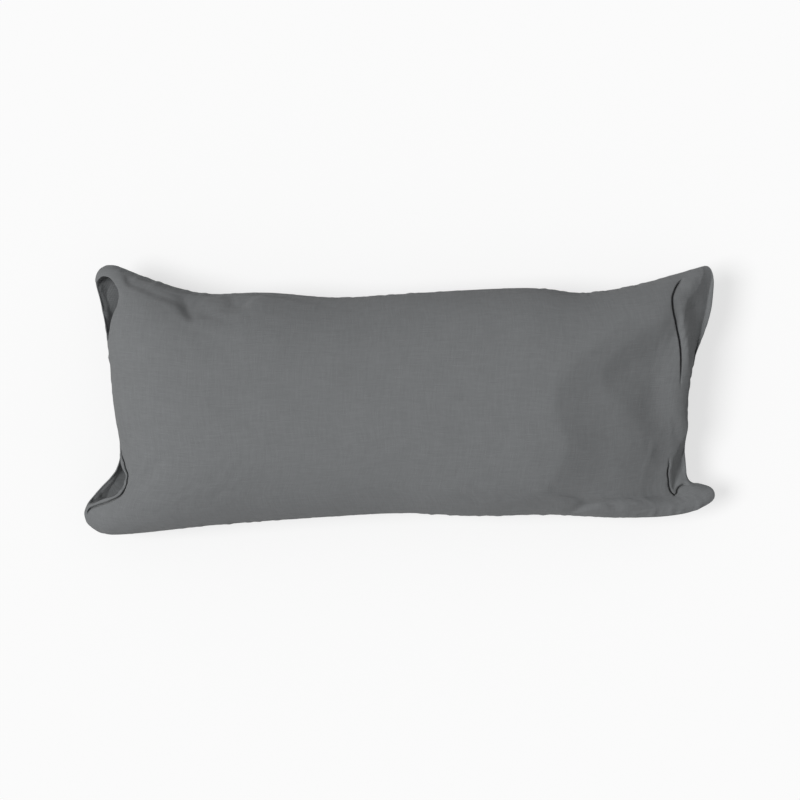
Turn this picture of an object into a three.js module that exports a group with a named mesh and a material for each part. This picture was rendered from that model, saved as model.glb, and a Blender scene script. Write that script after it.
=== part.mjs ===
// A long throw pillow, stuffed full and lying on its back: two rectangles of cloth sewn together all round with a
// plain knife edge. The filling draws the middle of each side in, so the four corners stand out as soft ears, and
// beside each ear the end of the pillow dips into a hollow.
//
// Millimetres. +X runs along the pillow to its right end, +Y to its far side, +Z up from the surface it lies on.
// The origin is on that surface, under the middle of the pillow's outline.

import * as THREE from "three";

// Driving dimensions.
const THICKNESS = 176; // from the surface to the top of the crown
const SEAM_HEIGHT = 80; // the seam above the surface, half way along a side
const FLATTENED = 18; // how much of the lower crown the surface pushes in
const CONTACT_ROUNDING = 9; // the height over which the lower face rounds into its flat
const EAR_REACH = 105; // how far from its tip an ear bends the seam up or down
const CLOTH_COLOUR = 0x717374;

// Grid of each face, from end to end and from side to side.
const COLUMNS = 64;
const ROWS = 30;
const EDGE_CROWDING = 0.55; // 0 spaces the grid evenly, 1 crowds it towards the seam

// Crown: how square each profile is. 2 is round, and more stays level for longer before it falls to the seam.
const CROWN = { acrossSide: 2.5, leftEnd: 6.5, rightEnd: 4.2 };
const EAR_FLATNESS = { share: 0.35, reach: 0.13 }; // what the crown loses at an ear's tip, and how far in
const WIDTH_TO_LENGTH = 0.45; // of the face, so that an ear is as flat across as it is along

// The ears' tips, as arcs that run clockwise seen from above.
const EARS = [
  { name: "near left", x: -413, y: -163, alongX: 42.5, alongY: 31.5, from: 275, to: 160, height: 60 },
  { name: "far left", x: -415, y: 171.5, alongX: 23.5, alongY: 22.5, from: 190, to: 70, height: 72 },
  { name: "far right", x: 438, y: 167, alongX: 11.5, alongY: 26.5, from: 105, to: -15, height: 78 },
  { name: "near right", x: 439.5, y: -136.5, alongX: 15, alongY: 13.5, from: 75, to: -50, height: 56 },
];

// The seam between the ears, in the same direction round the pillow: EDGES[0] runs from EARS[0] to EARS[1].
const EDGES = [
  {
    name: "left end",
    through: [
      { x: -436, y: -131 },
      { x: -409, y: -101 },
      { x: -401.5, y: -70 },
      { x: -409.5, y: -15 },
      { x: -418, y: 70 },
      { x: -430, y: 137 },
    ],
  },
  {
    name: "far side",
    through: [
      { x: -352, y: 171 },
      { x: -282, y: 152.5 },
      { x: -195, y: 153.5 },
      { x: -92, y: 146 },
      { x: 30, y: 153 },
      { x: 193, y: 159.5 },
      { x: 262, y: 153 },
      { x: 335, y: 164 },
      { x: 400, y: 182 },
    ],
  },
  {
    name: "right end",
    through: [
      { x: 444, y: 123 },
      { x: 420, y: 54 },
      { x: 411, y: -6 },
      { x: 412.5, y: -34 },
      { x: 408.5, y: -71 },
      { x: 412, y: -103 },
      { x: 416, y: -117.5 },
      { x: 430, y: -120 },
    ],
  },
  {
    name: "near side",
    through: [
      { x: 418, y: -162 },
      { x: 332, y: -169 },
      { x: 209, y: -164 },
      { x: 101, y: -166 },
      { x: 3, y: -161.5 },
      { x: -92, y: -166 },
      { x: -266, y: -179 },
    ],
  },
];

// Hollows beside the ears: the rim line of each, from the seam in and back to the seam, and a point well outside
// the seam that the hollow opens towards. share is how much of the crown's height the hollow takes away.
const HOLLOWS = [
  {
    name: "near left",
    opensTo: { x: -560, y: -60 },
    share: 0.55,
    rim: [
      { x: -404, y: -60 },
      { x: -394, y: -93 },
      { x: -386, y: -112 },
      { x: -394, y: -129 },
      { x: -426, y: -143 },
      { x: -456, y: -158 },
    ],
  },
  {
    name: "far left",
    opensTo: { x: -560, y: 120 },
    share: 0.45,
    rim: [
      { x: -440, y: 180 },
      { x: -422, y: 177 },
      { x: -405, y: 153 },
      { x: -402, y: 140 },
      { x: -411, y: 119 },
      { x: -420, y: 74 },
    ],
  },
  {
    name: "far right",
    opensTo: { x: 560, y: 120 },
    share: 0.5,
    rim: [
      { x: 436, y: 196 },
      { x: 428, y: 172 },
      { x: 412, y: 144 },
      { x: 408, y: 124 },
      { x: 414, y: 88 },
      { x: 422, y: 46 },
    ],
  },
  {
    name: "near right",
    opensTo: { x: 560, y: -95 },
    share: 0.55,
    rim: [
      { x: 411, y: -58 },
      { x: 392, y: -91 },
      { x: 386, y: -114 },
      { x: 390, y: -133 },
      { x: 400, y: -134 },
      { x: 420, y: -121 },
    ],
  },
];
const RIM_ROUNDING = 20; // the width over which a hollow's wall falls from its rim

// Soft troughs in the upper face: each follows a line that bends once.
const TROUGHS = [
  { name: "fold at the right end", from: [410, 172], bend: [378, 128], to: [400, 14], depth: 6, width: 11 },
  { name: "first far left pucker", from: [-293, 156], bend: [-297, 130], to: [-288, 104], depth: 8, width: 15 },
  { name: "second far left pucker", from: [-226, 156], bend: [-226, 138], to: [-232, 118], depth: 6, width: 14 },
  { name: "near right pucker", from: [262, -170], bend: [264, -150], to: [258, -126], depth: 6, width: 15 },
];
const TROUGH_FADES_FROM = 0.45; // the share of its length after which a trough grows shallower
const TROUGH_NEEDS = 0.5; // the share of the crown at which a trough has its full depth
const LEAST_LEFT = 0.25; // the share of the crown that a trough always leaves
const LINE_STEPS = 24; // how finely a trough's or a rim's line is followed

// The stuffing has slumped away from the right end: beyond a line that bends once, the upper face falls steadily.
const SLUMP = { from: [382, 135], bend: [200, -20], to: [130, -168], slope: 0.13, rounding: 20 };
const SLUMP_OPENS_TO = [
  [600, -300],
  [600, 300],
];

function smoothstep(low, high, value) {
  const t = THREE.MathUtils.clamp((value - low) / (high - low), 0, 1);
  return t * t * (3 - 2 * t);
}

// The larger of value and 0, rounded over the given height on either side of 0.
function roundedFloor(value, rounding) {
  if (value >= rounding) return value;
  if (value <= -rounding) return 0;
  return (value + rounding) ** 2 / (4 * rounding);
}

function pointOnEar(ear, degrees) {
  const angle = THREE.MathUtils.degToRad(degrees);
  return new THREE.Vector2(ear.x + ear.alongX * Math.cos(angle), ear.y + ear.alongY * Math.sin(angle));
}

// The tip of an ear's arc, and the points that lead from the tip to the arc's start or end.
function halfEar(ear, towards) {
  const middle = (ear.from + ear.to) / 2;
  const steps = 3;
  const points = [];
  for (let i = 0; i <= steps; i++) {
    points.push(pointOnEar(ear, THREE.MathUtils.lerp(middle, ear[towards], i / steps)));
  }
  return points;
}

// One side of the cover's seam in plan, from the tip of one ear to the tip of the next.
function sideCurve(edge, index) {
  const start = halfEar(EARS[index], "to");
  const end = halfEar(EARS[(index + 1) % EARS.length], "from").reverse();
  const through = edge.through.map(({ x, y }) => new THREE.Vector2(x, y));
  const points = [...start, ...through, ...end].map((p) => new THREE.Vector3(p.x, p.y, 0));
  return new THREE.CatmullRomCurve3(points, false, "centripetal");
}

const [LEFT_END, FAR_SIDE, RIGHT_END, NEAR_SIDE] = EDGES.map(sideCurve);
const TIPS = EARS.map((ear) => pointOnEar(ear, (ear.from + ear.to) / 2));

// Where the cloth at (u, v) lies in plan: u runs from the left end to the right, v from the near side to the far.
function planOf(u, v) {
  const near = NEAR_SIDE.getPointAt(1 - u);
  const far = FAR_SIDE.getPointAt(u);
  const left = LEFT_END.getPointAt(v);
  const right = RIGHT_END.getPointAt(1 - v);
  const [nearLeft, farLeft, farRight, nearRight] = TIPS;
  const blend = (axis) => {
    const sides = (1 - v) * near[axis] + v * far[axis];
    const ends = (1 - u) * left[axis] + u * right[axis];
    const corners =
      (1 - u) * ((1 - v) * nearLeft[axis] + v * farLeft[axis]) +
      u * ((1 - v) * nearRight[axis] + v * farRight[axis]);
    return sides + ends - corners;
  };
  return new THREE.Vector2(blend("x"), blend("y"));
}

// The height of the seam's level at a place in plan: each ear bends it towards the ear's own height.
function seamLevel(place) {
  return EARS.reduce((level, ear, index) => {
    const nearness = Math.exp(-((place.distanceTo(TIPS[index]) / EAR_REACH) ** 2));
    return level + (ear.height - SEAM_HEIGHT) * nearness;
  }, SEAM_HEIGHT);
}

// The crown as a share of its full height: 0 on the seam and 1 in the middle.
function crownShare(u, v) {
  const along = 2 * u - 1;
  const across = 2 * v - 1;
  const squareness = along < 0 ? CROWN.leftEnd : CROWN.rightEnd;
  const lengthwise = 1 - Math.abs(along) ** squareness;
  const crosswise = 1 - Math.abs(across) ** CROWN.acrossSide;
  const toEar = Math.hypot(1 - Math.abs(along), (1 - Math.abs(across)) * WIDTH_TO_LENGTH);
  const flattening = EAR_FLATNESS.share * Math.exp(-((toEar / EAR_FLATNESS.reach) ** 2));
  return Math.sqrt(Math.max(lengthwise * crosswise, 0)) * (1 - flattening);
}

function followed(curve) {
  return curve.getPoints(LINE_STEPS);
}

function distanceToLine(place, line) {
  let nearest = Infinity;
  let share = 0;
  for (let i = 1; i < line.length; i++) {
    const step = line[i].clone().sub(line[i - 1]);
    const t = THREE.MathUtils.clamp(place.clone().sub(line[i - 1]).dot(step) / step.lengthSq(), 0, 1);
    const distance = place.distanceTo(line[i - 1].clone().addScaledVector(step, t));
    if (distance < nearest) {
      nearest = distance;
      share = (i - 1 + t) / (line.length - 1);
    }
  }
  return { nearest, share };
}

function isInside(place, outline) {
  let inside = false;
  for (let i = 0, j = outline.length - 1; i < outline.length; j = i++) {
    const a = outline[i];
    const b = outline[j];
    const crosses = a.y > place.y !== b.y > place.y;
    if (crosses && place.x < ((b.x - a.x) * (place.y - a.y)) / (b.y - a.y) + a.x) inside = !inside;
  }
  return inside;
}

const HOLLOW_LINES = HOLLOWS.map((hollow) => {
  const rim = followed(new THREE.SplineCurve(hollow.rim.map(({ x, y }) => new THREE.Vector2(x, y))));
  return { ...hollow, rim, outline: [...rim, new THREE.Vector2(hollow.opensTo.x, hollow.opensTo.y)] };
});

function bentLine({ from, bend, to }) {
  return followed(new THREE.QuadraticBezierCurve(...[from, bend, to].map((p) => new THREE.Vector2(...p))));
}

const TROUGH_LINES = TROUGHS.map((trough) => ({ ...trough, line: bentLine(trough) }));

const SLUMP_LINE = bentLine(SLUMP);
const SLUMP_OUTLINE = [...SLUMP_LINE, ...SLUMP_OPENS_TO.map((p) => new THREE.Vector2(...p))];

// How much of the crown's height the hollows leave at a place.
function leftByHollows(place) {
  return HOLLOW_LINES.reduce((left, { rim, outline, share }) => {
    const { nearest } = distanceToLine(place, rim);
    const inwards = isInside(place, outline) ? nearest : -nearest;
    return left * (1 - share * smoothstep(-RIM_ROUNDING / 2, RIM_ROUNDING, inwards));
  }, 1);
}

// How deep the troughs are at a place. Each dies away towards its far end.
function troughDepth(place) {
  return TROUGH_LINES.reduce((depth, trough) => {
    const { nearest, share } = distanceToLine(place, trough.line);
    const fade = 1 - smoothstep(TROUGH_FADES_FROM, 1, share);
    return depth + trough.depth * fade * Math.exp(-((nearest / trough.width) ** 2));
  }, 0);
}

// How far the upper face has fallen at a place beyond the slump's line.
function slumpDepth(place) {
  const { nearest } = distanceToLine(place, SLUMP_LINE);
  const beyond = isInside(place, SLUMP_OUTLINE) ? nearest : -nearest;
  return SLUMP.slope * roundedFloor(beyond, SLUMP.rounding);
}

function upperPoint(u, v) {
  const place = planOf(u, v);
  const share = crownShare(u, v);
  const level = seamLevel(place);
  const crown = (THICKNESS - SEAM_HEIGHT) * share * leftByHollows(place);
  const sunk = (troughDepth(place) + slumpDepth(place)) * smoothstep(0, TROUGH_NEEDS, share);
  return [place.x, place.y, level + Math.max(crown - sunk, LEAST_LEFT * crown)];
}

function lowerPoint(u, v) {
  const place = planOf(u, v);
  const crown = (SEAM_HEIGHT + FLATTENED) * crownShare(u, v);
  return [place.x, place.y, roundedFloor(seamLevel(place) - crown, CONTACT_ROUNDING)];
}

// A grid line's place from 0 to 1, crowded towards both ends.
function spaced(index, count) {
  const even = index / count;
  const crowded = (1 - Math.cos(Math.PI * even)) / 2;
  return THREE.MathUtils.lerp(even, crowded, EDGE_CROWDING);
}

// Both faces as one closed surface. They share the vertices of the seam.
function pillowGeometry() {
  const positions = [];
  const addFace = (pointAt, seam) => {
    const grid = [];
    for (let row = 0; row <= ROWS; row++) {
      for (let column = 0; column <= COLUMNS; column++) {
        const onSeam = row % ROWS === 0 || column % COLUMNS === 0;
        if (onSeam && seam) {
          grid.push(seam[grid.length]);
        } else {
          grid.push(positions.length / 3);
          positions.push(...pointAt(spaced(column, COLUMNS), spaced(row, ROWS)));
        }
      }
    }
    return grid;
  };
  const upper = addFace(upperPoint, null);
  const lower = addFace(lowerPoint, upper);

  const triangles = [];
  const addQuads = (grid, facesUp) => {
    for (let row = 0; row < ROWS; row++) {
      for (let column = 0; column < COLUMNS; column++) {
        const a = row * (COLUMNS + 1) + column;
        const [p, q, r, s] = [a, a + 1, a + COLUMNS + 2, a + COLUMNS + 1].map((i) => grid[i]);
        // The diagonal turns over in two quarters of the grid, so that it runs away from each corner.
        const mirrored = row < ROWS / 2 === column < COLUMNS / 2;
        const pair = mirrored ? [[p, q, r], [p, r, s]] : [[p, q, s], [q, r, s]];
        pair.forEach(([i, j, k]) => triangles.push(...(facesUp ? [i, j, k] : [i, k, j])));
      }
    }
  };
  addQuads(upper, true);
  addQuads(lower, false);

  const geometry = new THREE.BufferGeometry();
  geometry.setAttribute("position", new THREE.Float32BufferAttribute(positions, 3));
  geometry.setIndex(triangles);
  geometry.computeBoundingBox();
  const middle = geometry.boundingBox.getCenter(new THREE.Vector3());
  geometry.translate(-middle.x, -middle.y, 0);
  geometry.computeVertexNormals();
  return geometry;
}

const cloth = new THREE.MeshStandardMaterial({ color: CLOTH_COLOUR, roughness: 0.92, metalness: 0 });
const pillow = new THREE.Mesh(pillowGeometry(), cloth);
pillow.name = "pillow";

const throwPillow = new THREE.Group();
throwPillow.add(pillow);
export default throwPillow;
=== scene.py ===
"""The looks of a long throw pillow: two cloth panels, blown up by their stuffing, creased, woven and sewn.

Metres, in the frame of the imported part: +X along the pillow to its right end, +Y to its far side, +Z up.
A panel's own places run from 0 to 1: u from its left end to its right, v from its near side to its far side.
"""

import math

import bpy
import numpy as np
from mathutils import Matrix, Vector
from mathutils.bvhtree import BVHTree


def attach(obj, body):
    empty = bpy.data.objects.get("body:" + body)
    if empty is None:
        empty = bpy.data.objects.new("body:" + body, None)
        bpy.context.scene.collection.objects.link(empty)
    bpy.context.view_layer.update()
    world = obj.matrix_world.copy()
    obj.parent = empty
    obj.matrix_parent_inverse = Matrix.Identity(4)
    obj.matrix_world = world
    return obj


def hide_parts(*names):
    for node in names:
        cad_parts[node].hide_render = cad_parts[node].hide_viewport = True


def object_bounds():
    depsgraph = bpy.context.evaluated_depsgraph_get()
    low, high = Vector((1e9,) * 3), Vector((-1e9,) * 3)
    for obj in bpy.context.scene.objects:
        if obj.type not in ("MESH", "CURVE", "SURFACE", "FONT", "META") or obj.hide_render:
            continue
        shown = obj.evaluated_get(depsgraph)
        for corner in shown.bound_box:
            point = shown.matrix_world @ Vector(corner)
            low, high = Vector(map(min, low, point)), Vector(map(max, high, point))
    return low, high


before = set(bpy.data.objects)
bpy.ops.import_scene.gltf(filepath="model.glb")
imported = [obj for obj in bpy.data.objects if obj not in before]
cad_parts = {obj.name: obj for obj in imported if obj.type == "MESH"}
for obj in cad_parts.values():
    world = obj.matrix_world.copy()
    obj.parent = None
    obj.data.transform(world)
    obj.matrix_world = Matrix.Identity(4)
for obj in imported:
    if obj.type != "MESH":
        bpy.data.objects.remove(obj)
CAD_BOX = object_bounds()

# The cover, as it is cut: two panels of this finished size.
PANEL_LENGTH = 0.914
PANEL_WIDTH = 0.406

# The view: straight down, from far enough away that the pillow looks nearly flat.
VIEW_SPAN = 1.152  # how much of the pillow's own plane the view holds from side to side
VIEW_LENS = 100.0
SENSOR = 36.0
SEAM_LEVEL = 0.062  # the height of the ears' tips, where the outline is widest

# The form is read on a crowded grid, to spread the cloth's threads over it in a few rounds.
FORM_COLUMNS = 160
FORM_ROWS = 90
SPREAD_ROUNDS = 6

# The grid on which the cloth is inflated, and the finished piece's finer one, which is closer near the seam.
BLOWN_COLUMNS = 152
BLOWN_ROWS = 68
FINE_COLUMNS = 272
FINE_ROWS = 112
COLUMNS_TO_ENDS = 0.60
ROWS_TO_SIDES = 0.60
DIVIDED = 4  # each square of the grid beside a narrow crease is divided into this many by this many
DIVIDED_WITHIN = 0.0055
NARROW = 0.003
AROUND_HOLLOW = 0.004  # a steep hollow's squares are divided too, and those this near to it

# The stuffing's push on the cloth. Cloth that is cut a little large for its seam puckers beside it.
CLOTH_EASE = 1.02
BLOWN_FRAMES = 30
TABLE_LEVEL = -0.002
TABLE_HALF = 1.0
CLOTH = {
    "quality": 6,
    "mass": 0.0004,
    "tension_stiffness": 15,
    "compression_stiffness": 15,
    "shear_stiffness": 10,
    "bending_stiffness": 0.5,
    "tension_damping": 10,
    "compression_damping": 10,
    "shear_damping": 5,
    "bending_damping": 0.5,
    "air_damping": 3,
    "use_pressure": True,
    "uniform_pressure_force": 4,
}

# The edge of the strip along the far left side, where the cloth turns down.
STRIP_EDGE = [
    (-0.4000, 0.1830), (-0.3945, 0.1770), (-0.3860, 0.1640), (-0.3690, 0.1570), (-0.3500, 0.1480),
    (-0.3280, 0.1410), (-0.3160, 0.1360), (-0.3050, 0.1240), (-0.2940, 0.1130), (-0.2780, 0.1180),
    (-0.2560, 0.1260), (-0.2400, 0.1250), (-0.2250, 0.1280), (-0.2150, 0.1380), (-0.2060, 0.1450),
    (-0.1900, 0.1500),
]

# Hollows beside the ears, where the stuffing doesn't reach. Each rim runs in plan from the seam in and back
# to the seam, with the hollow on its left. Wall: the share of the way from the rim to the seam over which
# the cloth drops. Upright: the share over which it drops straight down. Depth: how far it then lies below
# the sheet that the seam alone would span. Under: how far it is tucked in under its rim.
HOLLOWS = {
    "near left": {
        "rim": [
            (-0.4520, -0.1520), (-0.4240, -0.1420), (-0.4000, -0.1320),
            (-0.3910, -0.1150), (-0.3950, -0.0980), (-0.4010, -0.0780),
        ],
        "wall": 0.36, "upright": 0.33, "depth": 0.018, "under": 0.005,
    },
    "far left": {
        "rim": [
            (-0.4150, 0.0900), (-0.4090, 0.1160), (-0.4005, 0.1370), (-0.3995, 0.1520),
            (-0.4110, 0.1720), (-0.4255, 0.1775), (-0.4370, 0.1690),
        ],
        "wall": 0.36, "upright": 0.33, "depth": 0.019, "under": 0.005,
    },
    "far left edge": {
        "rim": STRIP_EDGE,
        "wall": 1.0, "upright": 0.0, "depth": 0.0, "under": 0.0,
    },
    "far right": {
        "rim": [
            (0.4320, 0.1900), (0.4310, 0.1740), (0.4230, 0.1580), (0.4080, 0.1420),
            (0.4030, 0.1210), (0.4040, 0.0970), (0.4100, 0.0720), (0.4130, 0.0460),
        ],
        "wall": 0.94, "upright": 0.0, "depth": 0.012, "under": 0.0,
    },
    "near right": {
        "rim": [
            (0.4090, -0.0520), (0.3960, -0.0740), (0.3890, -0.0940), (0.3888, -0.1150),
            (0.3930, -0.1285), (0.3990, -0.1230), (0.4060, -0.1175), (0.4136, -0.1155),
        ],
        "wall": 0.95, "upright": 0.0, "depth": 0.012, "under": 0.0,
    },
}

# How a hollow's cloth leaves its rim and reaches the seam.
RIM_SPACING = 0.002
RIM_BLUR = 0.003
RIM_EASE = 0.002
UNDER_EASE = 0.004
LEAST_RISE = 0.08  # the least share of the way over which it rises to the seam
SHUT_AND_OPEN = (0.004, 0.040)  # the widths at which it isn't yet hollow and is fully hollow

# Creases, each a line across the cloth in plan. Step: how far the cloth on its left lies below that on its
# right, and reach: how far out it has climbed back. Lap: how far the cloth on the right leans over the
# crease. Fades: the shares of its length over which it fades at its start and its end.
CREASES = {
    "near left ear": {
        "line": [
            (-0.4500, -0.1660), (-0.4455, -0.1575), (-0.4320, -0.1515), (-0.4110, -0.1440),
            (-0.3950, -0.1350), (-0.3875, -0.1215), (-0.3860, -0.1050), (-0.3920, -0.0870),
            (-0.3995, -0.0680),
        ],
        "depth": 0.010, "width": 0.0015, "step": 0.004, "reach": 0.012, "lap": 0.0009, "fades": (0.10, 0.12),
    },
    "far right fold": {
        "line": [
            (0.4050, 0.1750), (0.3920, 0.1605), (0.3850, 0.1420), (0.3860, 0.1260), (0.3920, 0.1020),
            (0.3970, 0.0780), (0.3985, 0.0490), (0.3990, 0.0140),
        ],
        "depth": 0.009, "width": 0.0015, "step": 0.004, "reach": 0.016, "lap": 0.0009, "fades": (0.12, 0.30),
    },
    "near right hook": {
        "line": [
            (0.3855, -0.0800), (0.3827, -0.1050), (0.3848, -0.1213), (0.3892, -0.1321), (0.3946, -0.1364),
            (0.3985, -0.1328), (0.3997, -0.1285), (0.4036, -0.1242), (0.4122, -0.1206),
        ],
        "depth": 0.008, "width": 0.0015, "step": 0.0, "reach": 0.008, "lap": 0.0007, "fades": (0.20, 0.06),
    },
    "far left strip": {
        "line": STRIP_EDGE,
        "depth": 0.001, "width": 0.0035, "step": 0.005, "reach": 0.016, "lap": 0.0, "fades": (0.10, 0.05),
    },
}

# The most that a crease takes of the pillow's thickness, and how far apart the two panels always stay.
CREASE_SHARE = 0.6
PANELS_APART = 0.004

# How far in from the seam troughs and creases are whole, and the panels are fully apart.
TROUGHS_WHOLE = 0.010
CREASES_WHOLE = 0.005
FULLY_APART = 0.010

# Slumps at the right end, where the stuffing has moved away: each a line in plan, beyond which, on its left,
# the face slopes down. Drop: how far it comes down in all. Run: how far out it has done so. Edge: how softly
# it turns down. They are gone again near the seam: at the first distance from it, and whole at the second.
SLUMPS = {
    "outer": {
        "line": [
            (0.3960, 0.1440), (0.3780, 0.1340), (0.3300, 0.1190), (0.2810, 0.0850), (0.2150, 0.0080),
            (0.2320, -0.0720), (0.2080, -0.1190), (0.1260, -0.1560), (0.1060, -0.1640),
        ],
        "drop": 0.014, "run": 0.055, "edge": 0.005,
    },
    "inner": {
        "line": [
            (0.3960, 0.1240), (0.3420, 0.0980), (0.2830, 0.0370), (0.3240, -0.0220), (0.3590, -0.0620),
            (0.3470, -0.1080), (0.3800, -0.1660), (0.3840, -0.1750),
        ],
        "drop": 0.010, "run": 0.040, "edge": 0.005,
    },
}
SLUMP_FROM_END = (0.015, 0.10)
SLUMP_FROM_SIDES = (0.005, 0.065)

# Troughs where the cloth is drawn in, each a line in plan.
TROUGHS = {
    "far left pucker": {
        "line": [(-0.316, 0.156), (-0.304, 0.138), (-0.294, 0.108)],
        "depth": 0.005, "width": 0.010, "fades": (0.35, 0.60),
    },
    "far left pucker 2": {
        "line": [(-0.250, 0.150), (-0.240, 0.138), (-0.231, 0.118)],
        "depth": 0.004, "width": 0.010, "fades": (0.35, 0.60),
    },
    "near right pucker": {
        "line": [(0.231, -0.163), (0.262, -0.150), (0.290, -0.146), (0.320, -0.160)],
        "depth": 0.007, "width": 0.010, "fades": (0.25, 0.25),
    },
}

# The seam: it is drawn in, the cloth rolls over on both sides of it, and small gathers run in from it.
SEAM_IN = 0.0014
SEAM_IN_WIDTH = 0.0012
CORNER_ROUNDING = 0.003
ROLL_OUT = 0.0007
ROLL_WIDTH = 0.003
GATHERS = 0.0008
GATHERS_REACH = 0.006
GATHER_LENGTHS = (0.015, 0.023, 0.034, 0.053)
GATHERS_SWELL = 0.31  # how far apart along the seam they are strongest
GATHERS_SEED = 7

# The seam's thread, which shows as short bars down in the seam.
STITCH_PITCH = 0.0034
STITCH_LENGTH = 0.0026
THREAD_RADIUS = 0.00045

# Finish of the cloth.
CLOTH_COLOUR = (0.165, 0.171, 0.175)
THREAD_COLOUR = (0.150, 0.155, 0.159)
THREAD_PITCH = 0.0016

# Light: a soft lamp from the left, and the room's even light. Together they light level ground at 1.
LAMP_FROM = (-0.68, -0.05, 1.00)
LAMP_SOFTNESS = 0.45
ROOM_LIGHT = 0.36
FLOOR_SIZE = 12.0
FLOOR_TONE = 0.30
FLOOR_WHITE = 0.965  # what the camera sees of the floor where no shadow lies


def camera():
    data = bpy.data.cameras.new("camera")
    data.lens = VIEW_LENS
    data.sensor_width = SENSOR
    data.clip_end = 20
    made = bpy.data.objects.new("camera", data)
    bpy.context.scene.collection.objects.link(made)
    middle = (CAD_BOX[0] + CAD_BOX[1]) / 2
    made.location = (middle.x, middle.y, SEAM_LEVEL + VIEW_SPAN * VIEW_LENS / SENSOR)
    bpy.context.scene.camera = made


# ----------------------------------------------------------
# The pillow's form, as the frame gives it


def welded(node):
    """A CAD node's points, each once, and its triangles."""
    mesh = node.data
    mesh.calc_loop_triangles()
    places = np.empty(len(mesh.vertices) * 3)
    mesh.vertices.foreach_get("co", places)
    corners = np.empty(len(mesh.loop_triangles) * 3, int)
    mesh.loop_triangles.foreach_get("vertices", corners)
    points, same = np.unique(places.reshape(-1, 3).round(6), axis=0, return_inverse=True)
    return points, same.ravel()[corners].reshape(-1, 3)


def seam_loop(points, triangles):
    """The points of the seam, anticlockwise from above. It parts the faces that look up from the rest."""
    a, b, c = (points[triangles[:, i], :2] for i in range(3))
    faces_up = (b - a)[:, 0] * (c - a)[:, 1] - (b - a)[:, 1] * (c - a)[:, 0] > 0
    below = {(j, i) for t in triangles[~faces_up].tolist() for i, j in zip(t, t[1:] + t[:1])}
    following = {
        i: j for t in triangles[faces_up].tolist() for i, j in zip(t, t[1:] + t[:1]) if (i, j) in below
    }
    loop = [next(iter(following))]
    while following[loop[-1]] != loop[0]:
        loop.append(following[loop[-1]])
    return points[loop]


def smooth_through(points, stations, at):
    """The smooth curve through points, each at its station, read at other stations."""
    slopes = np.gradient(points, stations, axis=0)
    k = np.clip(np.searchsorted(stations, at) - 1, 0, len(stations) - 2)
    span = (stations[k + 1] - stations[k])[..., None]
    t = (np.asarray(at) - stations[k])[..., None] / span
    return (
        (1 + 2 * t) * (1 - t) ** 2 * points[k]
        + t * (1 - t) ** 2 * span * slopes[k]
        + t**2 * (3 - 2 * t) * points[k + 1]
        + t**2 * (t - 1) * span * slopes[k + 1]
    )


def seam_sides(loop):
    """The seam's four sides, each a function of the share of its length: near and far run right, left and
    right run away."""
    toward = {"near left": (-1, -1), "near right": (1, -1), "far right": (1, 1), "far left": (-1, 1)}
    tips = {name: int(np.argmax(loop[:, :2] @ np.array(way))) for name, way in toward.items()}

    def side(start, end, backwards=False):
        count = (tips[end] - tips[start]) % len(loop) + 1
        points = np.take(loop, range(tips[start], tips[start] + count), axis=0, mode="wrap")
        if backwards:
            points = points[::-1]
        stations = np.append(0, np.cumsum(np.linalg.norm(np.diff(points, axis=0), axis=1)))
        return lambda share: smooth_through(points, stations / stations[-1], share)

    return {
        "near": side("near left", "near right"),
        "right": side("near right", "far right"),
        "far": side("far right", "far left", backwards=True),
        "left": side("far left", "near left", backwards=True),
    }


def across_seam(sides, u, v):
    """Points of the sheet that the seam alone would span, which is each panel's plan."""
    near, far, left, right = sides["near"](u), sides["far"](u), sides["left"](v), sides["right"](v)
    corners = {
        (i, j): sides["near" if j == 0 else "far"](np.array(float(i))) for i in (0, 1) for j in (0, 1)
    }
    u, v = u[..., None], v[..., None]
    return (
        (1 - v) * near
        + v * far
        + (1 - u) * left
        + u * right
        - (1 - u) * ((1 - v) * corners[0, 0] + v * corners[0, 1])
        - u * ((1 - v) * corners[1, 0] + v * corners[1, 1])
    )


def laid_on(tree, sheet, looks_up):
    """sheet's points moved straight up or down onto the pillow's form. Its edges stay on the seam."""
    laid = sheet.copy()
    start = 1.0 if looks_up else -1.0
    for i in range(1, sheet.shape[0] - 1):
        for j in range(1, sheet.shape[1] - 1):
            hit = tree.ray_cast((sheet[i, j, 0], sheet[i, j, 1], start), (0, 0, -start))[0]
            if hit is not None:
                laid[i, j, 2] = hit.z
    return laid


def crowded(count):
    """Shares from 0 to 1, closer together towards both ends."""
    return (1 - np.cos(np.pi * np.arange(count + 1) / count)) / 2


def evenly_spread(tree, sides, looks_up, columns, rows):
    """The places on a panel's plan where an evenly woven grid of threads would cross, laid on the form."""
    fine_u, fine_v = crowded(FORM_COLUMNS), crowded(FORM_ROWS)
    laid = laid_on(tree, across_seam(sides, *np.meshgrid(fine_u, fine_v, indexing="ij")), looks_up)

    def stations(step):
        lengths = np.linalg.norm(step, axis=-1)
        reached = np.concatenate([np.zeros((1, lengths.shape[1])), np.cumsum(lengths, axis=0)])
        return reached / reached[-1]

    along = stations(np.diff(laid, axis=0))
    across = stations(np.diff(laid, axis=1).swapaxes(0, 1))
    s, t = np.arange(columns + 1) / columns, np.arange(rows + 1) / rows
    u_on_line = np.array([np.interp(s, along[:, k], fine_u) for k in range(len(fine_v))])
    v_on_line = np.array([np.interp(t, across[:, k], fine_v) for k in range(len(fine_u))])
    u, v = np.meshgrid(s, t, indexing="ij")
    for _ in range(SPREAD_ROUNDS):
        u = np.array([np.interp(v[i], fine_v, u_on_line[:, i]) for i in range(columns + 1)])
        v = np.array([np.interp(u[:, j], fine_u, v_on_line[:, j]) for j in range(rows + 1)]).T
    return u, v


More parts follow.
